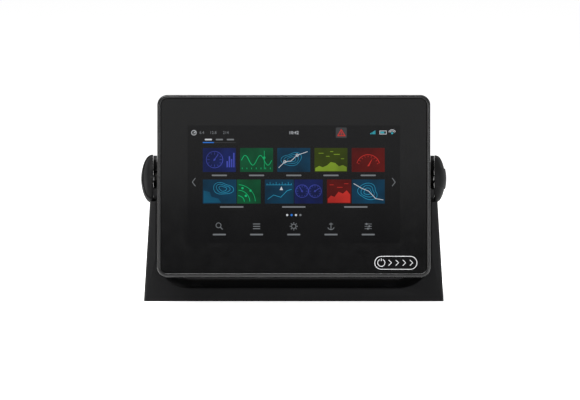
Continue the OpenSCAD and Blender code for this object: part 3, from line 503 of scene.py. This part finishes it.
BLACK = glow("lit_black", (0.0003, 0.0003, 0.0004), 0.1, GLASS_SPECULAR * 0.72)

ui = Picture((screen_low + screen_high) / 2)
half = (screen_high - screen_low) / 2
ui.box(-half.x, -half.y, half.x, half.y, 1, BLACK)


def label(x, y, width, material=GREY):
    """A rounded bar in the place of a word."""
    ui.box(x - width / 2, y - 0.55, x + width / 2, y + 0.55, 2, material, 0.4)


def wobble(x, y, rx, ry, phase, sides=36):
    """The outline of one closed depth contour."""
    points = []
    for k in range(sides):
        a = 2 * math.pi * k / sides
        r = 1 + 0.16 * math.sin(2 * a + phase) + 0.1 * math.sin(3 * a - 2 * phase)
        points.append((x + rx * r * math.cos(a), y + ry * r * math.sin(a)))
    return points


def contours(x, y, rx, ry, phase):
    """Three depth contours, one inside the other."""
    for k in range(3):
        share = 1 - 0.3 * k
        outline = wobble(x, y, rx * share, ry * share, phase + 0.3 * k)
        ui.line(outline, 0.32, 3 + k, CYAN, closed=True)


def spokes(x, y, inner, outer, angles, width, layer, material):
    for a in angles:
        ui.line([polar(x, y, inner, a), polar(x, y, outer, a)], width, layer, material)


def dial(x, y, r, angle):
    """A round instrument with twelve marks, long ones at the quarters, and a hand."""
    ui.ring(x, y, r, 0.42, 3, VIOLET)
    for k in range(12):
        spokes(x, y, r * (0.72 if k % 3 else 0.6), 0.88 * r, [30 * k], 0.3, 4, VIOLET)
    spokes(x, y, -0.2 * r, 0.78 * r, [angle], 0.5, 5, VIOLET)
    ui.disc(x, y, 0.7, 6, VIOLET)


def bars(x, y, heights, pitch, width, material, layer=3):
    """A row of upright bars."""
    for k, h in enumerate(heights):
        ui.box(x + k * pitch, y, x + k * pitch + width, y + h, layer, material)


def above(base, *points):
    """Points whose heights are given from the foot of a tile."""
    return [(x, base + y) for x, y in points]


# Page heading and status row
ui.ring(-72.5, 37.6, 1.7, 0.4, 2, WHITE)
ui.plate([(-73.2, 36.9), (-71.5, 37.6), (-71.6, 38.6)], 3, WHITE)
for text, x in (("6.4", -68.5), ("12.8", -61), ("214", -51.5)):
    ui.number(text, x, 36.7, 2.9, 2, GREY)
ui.number("10:42", 0, 36.5, 3.3, 2, WHITE, "CENTER")
ui.box(30.5, 33.8, 38.5, 41.4, 2, DIM, 0.8)
ui.line([(34.5, 39.8), (31.9, 35.4), (37.1, 35.4)], 0.6, 3, SCARLET, closed=True)
ui.box(34.2, 36.2, 34.8, 38.1, 3, SCARLET)
bars(55.5, 36.5, (0.8, 1.4, 2.0, 2.6), 1.0, 0.7, TEAL, 2)
ui.line([(62.4, 36.6), (67.2, 36.6), (67.2, 38.9), (62.4, 38.9)], 0.4, 2, WHITE, closed=True)
ui.box(62.9, 37.1, 65.6, 38.4, 2, TEAL)
ui.disc(71.4, 37.2, 0.75, 2, TEAL)
for r in (1.7, 2.6):
    ui.arc(71.4, 37.2, r, 20, 160, 0.4, 2, WHITE, 10)
ui.box(-66, 30.2, -42, 30.6, 2, DIM)
ui.box(-66, 30.1, -58, 30.8, 3, PAGE_BLUE)
for x in (-62, -54, -46):
    label(x, 32.6, 5.2, WHITE if x == -62 else GREY)

# Upper row of tiles: dial, wave, route, seabed and gauge
TILE, WIDE_TILE, TALL, LABEL_DROP = 24, 42, 17.5, 2.5
top = 26.5
low = top - TALL
for x, base in ((-66, INDIGO), (-39, GREEN), (-12, BLUE), (15, OLIVE), (42, RED)):
    ui.box(x, low, x + TILE, top, 2, base, 0.5)
    label(x + TILE / 2, low - LABEL_DROP, 11)
dial(-57.5, low + 9, 6, 55)
bars(-48.8, low + 3.4, (4.5, 8, 6, 10.5), 1.6, 1.0, VIOLET)
swell = [(-38 + 22 * k / 30, low + 8.5 + 3.6 * math.sin(k / 30 * 4 * math.pi)) for k in range(31)]
ui.line(swell, 0.45, 4, LEAF)
for k in range(7):
    ui.box(-37.6 + k * 3.4, low + 2, -37.2 + k * 3.4, low + 3.2, 3, LEAF)
ui.line([(-21.4, low + 2), (-21.4, low + 15.4)], 0.35, 5, LEAF)
ui.disc(-21.4, low + 10.4, 0.9, 6, LEAF)
contours(-1.5, low + 9.2, 6.6, 4.9, 0.6)
route = above(low, (-11, 3), (-6.5, 7.4), (-2, 8), (2.5, 12.2), (10, 14.8))
ui.line(route, 0.4, 7, WHITE)
for x, y in (route[1], route[3]):
    ui.ring(x, y, 0.9, 0.35, 8, WHITE, 14)
seabed = above(low, (15.6, 0.6), (38.4, 0.6), (38.4, 3.6), (35.5, 5.0), (32.8, 4.1), (30, 6.6),
               (26.8, 7.2), (24.2, 4.8), (21, 3.4), (18.4, 4.4), (15.6, 2.8))
ui.plate(seabed, 3, LIME)
for x, y, wide in (
        (18, 13.4, 3.6), (23.4, 11.2, 2.6), (29, 12.6, 4.4), (34.2, 9.4, 2.4), (26.4, 14.6, 2.2)):
    ui.box(x, low + y, x + wide, low + y + 0.45, 3, LIME)
ui.arc(54, low + 4.2, 8.4, 15, 165, 0.5, 3, SCARLET, 30)
spokes(54, low + 4.2, 6.6, 7.7, [15 + 150 * k / 8 for k in range(9)], 0.35, 4, SCARLET)
ui.plate([(53.3, low + 4.2), (54.7, low + 4.2), (57.4, low + 10.4)], 5, SCARLET)

# Lower row of wide tiles: bay and radar, depths and dials, seabed and route
top = 3.5
low = top - TALL
for x, left, right, share in (
        (-66, BLUE, GREEN, 0.58), (-21, BLUE, INDIGO, 0.5), (24, RED, BLUE, 0.42)):
    ui.box(x, low, x + WIDE_TILE * share, top, 2, left)
    ui.box(x + WIDE_TILE * share + 0.5, low, x + WIDE_TILE, top, 2, right)
    label(x + WIDE_TILE / 2, low - LABEL_DROP, 17)
bay = above(low, (-65.4, 0.6), (-52.6, 0.6), (-54.8, 3.6), (-59.8, 5), (-61, 8.4), (-65.4, 9.4))
ui.plate(bay, 3, SEA)
contours(-51.5, low + 10.8, 6.4, 4.6, 2.2)
for r in (4.5, 8.5, 12.5):
    ui.arc(-40.4, low + 1.2, r, 2, 88, 0.4, 3, LEAF, 18)
for x, y in ((-34.8, 5.6), (-31.4, 9.4), (-37.2, 11.2)):
    ui.disc(x, low + y, 0.85, 4, LEAF, 12)
ui.line([(-20, low + 13.6), (-1.5, low + 13.6)], 0.35, 3, CYAN)
for k in range(9):
    x = -19.4 + 2.2 * k
    ui.line(above(low, (x, 13.6), (x, 15.6 if k % 2 else 14.7)), 0.32, 4, CYAN)
depths = above(low, (-19, 3), (-14.6, 6.2), (-9.4, 4.6), (-5, 9.2), (-1.6, 10.4))
ui.line(depths, 0.42, 5, CYAN)
ui.plate(above(low, (-10.2, 9.8), (-7.8, 9.8), (-9, 12.4)), 6, WHITE)
dial(6, low + 9, 4.6, 120)
dial(15.4, low + 9, 4.6, 35)
ridge = above(low, (24.6, 0.6), (41, 0.6), (41, 6.4), (38.4, 9.6), (35.6, 7.2), (32.4, 8.6),
              (29.6, 4.8), (27, 5.8), (24.6, 3.4))
ui.plate(ridge, 3, SCARLET)
for x, y, wide in ((26, 13.4, 3), (31.4, 11.6, 4), (36.6, 14.2, 3)):
    ui.box(x, low + y, x + wide, low + y + 0.4, 3, SCARLET)
contours(53.6, low + 8.8, 7.6, 5.2, 4.1)
route = above(low, (43.4, 14.6), (49, 11.2), (54.4, 9), (59.4, 3.6), (65, 2.6))
ui.line(route, 0.4, 7, WHITE)

# Side arrows, page dots and the labels of the small icons
for side in (-1, 1):
    ui.line([(side * 71.4, 4.6), (side * 73.6, 1.6), (side * 71.4, -1.4)], 0.5, 2, GREY)
for k, material in enumerate((WHITE, PAGE_BLUE, WHITE, GREY)):
    ui.disc(-4.8 + 3.2 * k, -22.4, 0.8, 2, material, 16)
for x in (-54, -27, 0, 27, 54):
    label(x, -36.6, 9.5)

# A magnifier, a list, a gear, an anchor and sliders
ui.ring(-54.6, -29.9, 1.8, 0.45, 2, GREY)
ui.line([(-53.2, -31.3), (-51.6, -32.9)], 0.6, 3, GREY)
for k in range(3):
    ui.box(-29.6, -29.2 - 1.7 * k, -24.4, -28.6 - 1.7 * k, 2, GREY)
ui.ring(0, -30.6, 1.6, 0.5, 2, GREY)
spokes(0, -30.6, 2.1, 2.9, [45 * k for k in range(8)], 0.6, 3, GREY)
ui.line([(27, -28), (27, -33)], 0.5, 2, GREY)
ui.arc(27, -30.6, 2.4, 200, 340, 0.5, 3, GREY, 12)
ui.box(25.6, -29.2, 28.4, -28.7, 4, GREY)
for k, shift in enumerate((-1.2, 0.8, -0.2)):
    ui.line([(51.4, -28.9 - 1.7 * k), (56.6, -28.9 - 1.7 * k)], 0.4, 2, GREY)
    ui.disc(54 + shift, -28.9 - 1.7 * k, 0.75, 3, GREY, 12)
ui.piece("screen_picture")

# ---- printed slide mark for switching on: pill outline, power ring and chevrons ----

sensor_low, sensor_high = display_box("power_slide_sensor")
mark = Picture((sensor_low + sensor_high) / 2)
PRINT_WHITE = surface("print_white", (0.55, 0.55, 0.56), GLASS_ROUGH, specular=GLASS_SPECULAR,
                      grain=(900, 0.02, 0.005), mottle=0.03)
PILL_HALF, PILL_BEND, STROKE = 15.3, 4.72, 0.45  # half length, end radius and line width
CHEVRON_FIRST, CHEVRON_PITCH, CHEVRON_HALF, CHEVRON_DEEP = 5.3, 5.15, 2.05, 2.1
outline = []
for side, start in ((1, -90), (-1, 90)):
    for k in range(13):
        outline.append(polar(side * (PILL_HALF - PILL_BEND), 0, PILL_BEND, start + 15 * k))
mark.line(outline, STROKE, 1, PRINT_WHITE, closed=True)
ring_x = PILL_BEND - PILL_HALF
mark.arc(ring_x, 0, 2.6, 115, 425, STROKE, 1, PRINT_WHITE, 28)
mark.box(ring_x - 0.25, 1.3, ring_x + 0.25, 3.1, 2, PRINT_WHITE)
for k in range(4):
    x = ring_x + CHEVRON_FIRST + CHEVRON_PITCH * k
    points = [(x, CHEVRON_HALF), (x + CHEVRON_DEEP, 0), (x, -CHEVRON_HALF)]
    mark.line(points, STROKE, 1, PRINT_WHITE)
mark.piece("slide_mark")

# ---- stage ----


def studio_light(name, place, aim, size, power, color=(1, 1, 1)):
    """A rectangular lamp that faces the point aim."""
    data = bpy.data.lights.new(name, "AREA")
    data.shape = "RECTANGLE"
    data.size, data.size_y = size
    data.energy = power
    data.color = color
    lamp = add_object(name, data)
    lamp.location = place
    lamp.rotation_euler = (Vector(aim) - Vector(place)).to_track_quat("-Z", "Y").to_euler()


# The upper lamps share x between place and aim, which keeps their long sides along x
studio_light("top_strip", (-0.26, -0.3, 0.95), (-0.26, -0.05, 0.14), (0.7, 0.14), 12)
studio_light("key_softbox", (0.1, -0.3, 1.45), (0.1, 0, 0.08), (1.2, 0.7), 5)
studio_light("front_card", (0, -0.78, 0.6), (0, -0.05, 0.53), (1.6, 0.62), 1.72)
OBJECT_MIDDLE, SOFTBOX = (0, 0, 0.08), (0.5, 0.6)
studio_light("left_softbox", (-1.0, -1.15, 0.3), OBJECT_MIDDLE, SOFTBOX, 7, (1, 0.98, 0.95))
studio_light("right_softbox", (1.0, -1.15, 0.3), OBJECT_MIDDLE, SOFTBOX, 10.5, (0.95, 0.98, 1))


def seen_directly(t, ray):
    """1 for the rays of the camera and for those through glass, and 0 for the rest."""
    return t.combine("MAXIMUM", ray.outputs["Is Camera Ray"], ray.outputs["Is Transmission Ray"])


# The room is dark in front and pale behind the object. The camera sees white, and so does glass;
# reflections see the pale back wall at full strength.
ROOM_FRONT, ROOM_BACK, WALL = 0.1, 0.25, 1.0
BACK_FROM, BACK_FULL = 0.0, 0.7  # the ray's y, where the back wall starts and where it is full
world = bpy.data.worlds.new("studio")
bpy.context.scene.world = world
t = Tree(world)
ray = t.add("ShaderNodeLightPath")
direction = t.add("ShaderNodeTexCoord").outputs["Generated"]
ray_y = t.add("ShaderNodeSeparateXYZ", {"Vector": direction}).outputs["Y"]
room = t.ranged(ray_y, BACK_FROM, BACK_FULL, ROOM_FRONT, ROOM_BACK)
behind = t.ranged(ray_y, BACK_FROM, BACK_FULL, ROOM_FRONT, WALL)
mirrored = t.combine("MULTIPLY", behind, ray.outputs["Is Glossy Ray"])
shown = t.combine("MAXIMUM", seen_directly(t, ray), mirrored)
level = t.combine("MAXIMUM", room, shown)
t.surface_is("ShaderNodeBackground", {"Color": (1, 1, 1, 1), "Strength": level},
             "ShaderNodeOutputWorld")

FLOOR_HALF, FLOOR_DROP = 12, 0.2 * MM
FLOOR_PALE, FLOOR_GLOW = 0.8, 0.83
floor_bm = bmesh.new()
bmesh.ops.create_grid(floor_bm, x_segments=2, y_segments=2, size=FLOOR_HALF)
floor_mesh = bpy.data.meshes.new("floor")
floor_bm.to_mesh(floor_mesh)
floor_bm.free()
floor = add_object("floor", floor_mesh)
floor.location.z = -FLOOR_DROP
floor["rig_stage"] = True

# The floor keeps the object's shadow. It looks white to the camera, through glass and in
# reflections, and gives the object no more diffuse light for that.
pale = bpy.data.materials.new("pale_floor")
t = Tree(pale)
ray = t.add("ShaderNodeLightPath")
matt = t.add("ShaderNodeBsdfDiffuse", {"Color": rgba((FLOOR_PALE,) * 3)})
lit = t.add("ShaderNodeEmission", {"Color": (1, 1, 1, 1), "Strength": FLOOR_GLOW})
share = t.combine("MAXIMUM", seen_directly(t, ray), ray.outputs["Is Glossy Ray"])
added = t.add("ShaderNodeMixShader", {0: share, 2: lit.outputs[0]})
t.surface_is("ShaderNodeAddShader", {0: matt.outputs[0], 1: added.outputs[0]})
floor_mesh.materials.append(pale)

bpy.context.scene.view_settings.view_transform = "Standard"

low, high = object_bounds()
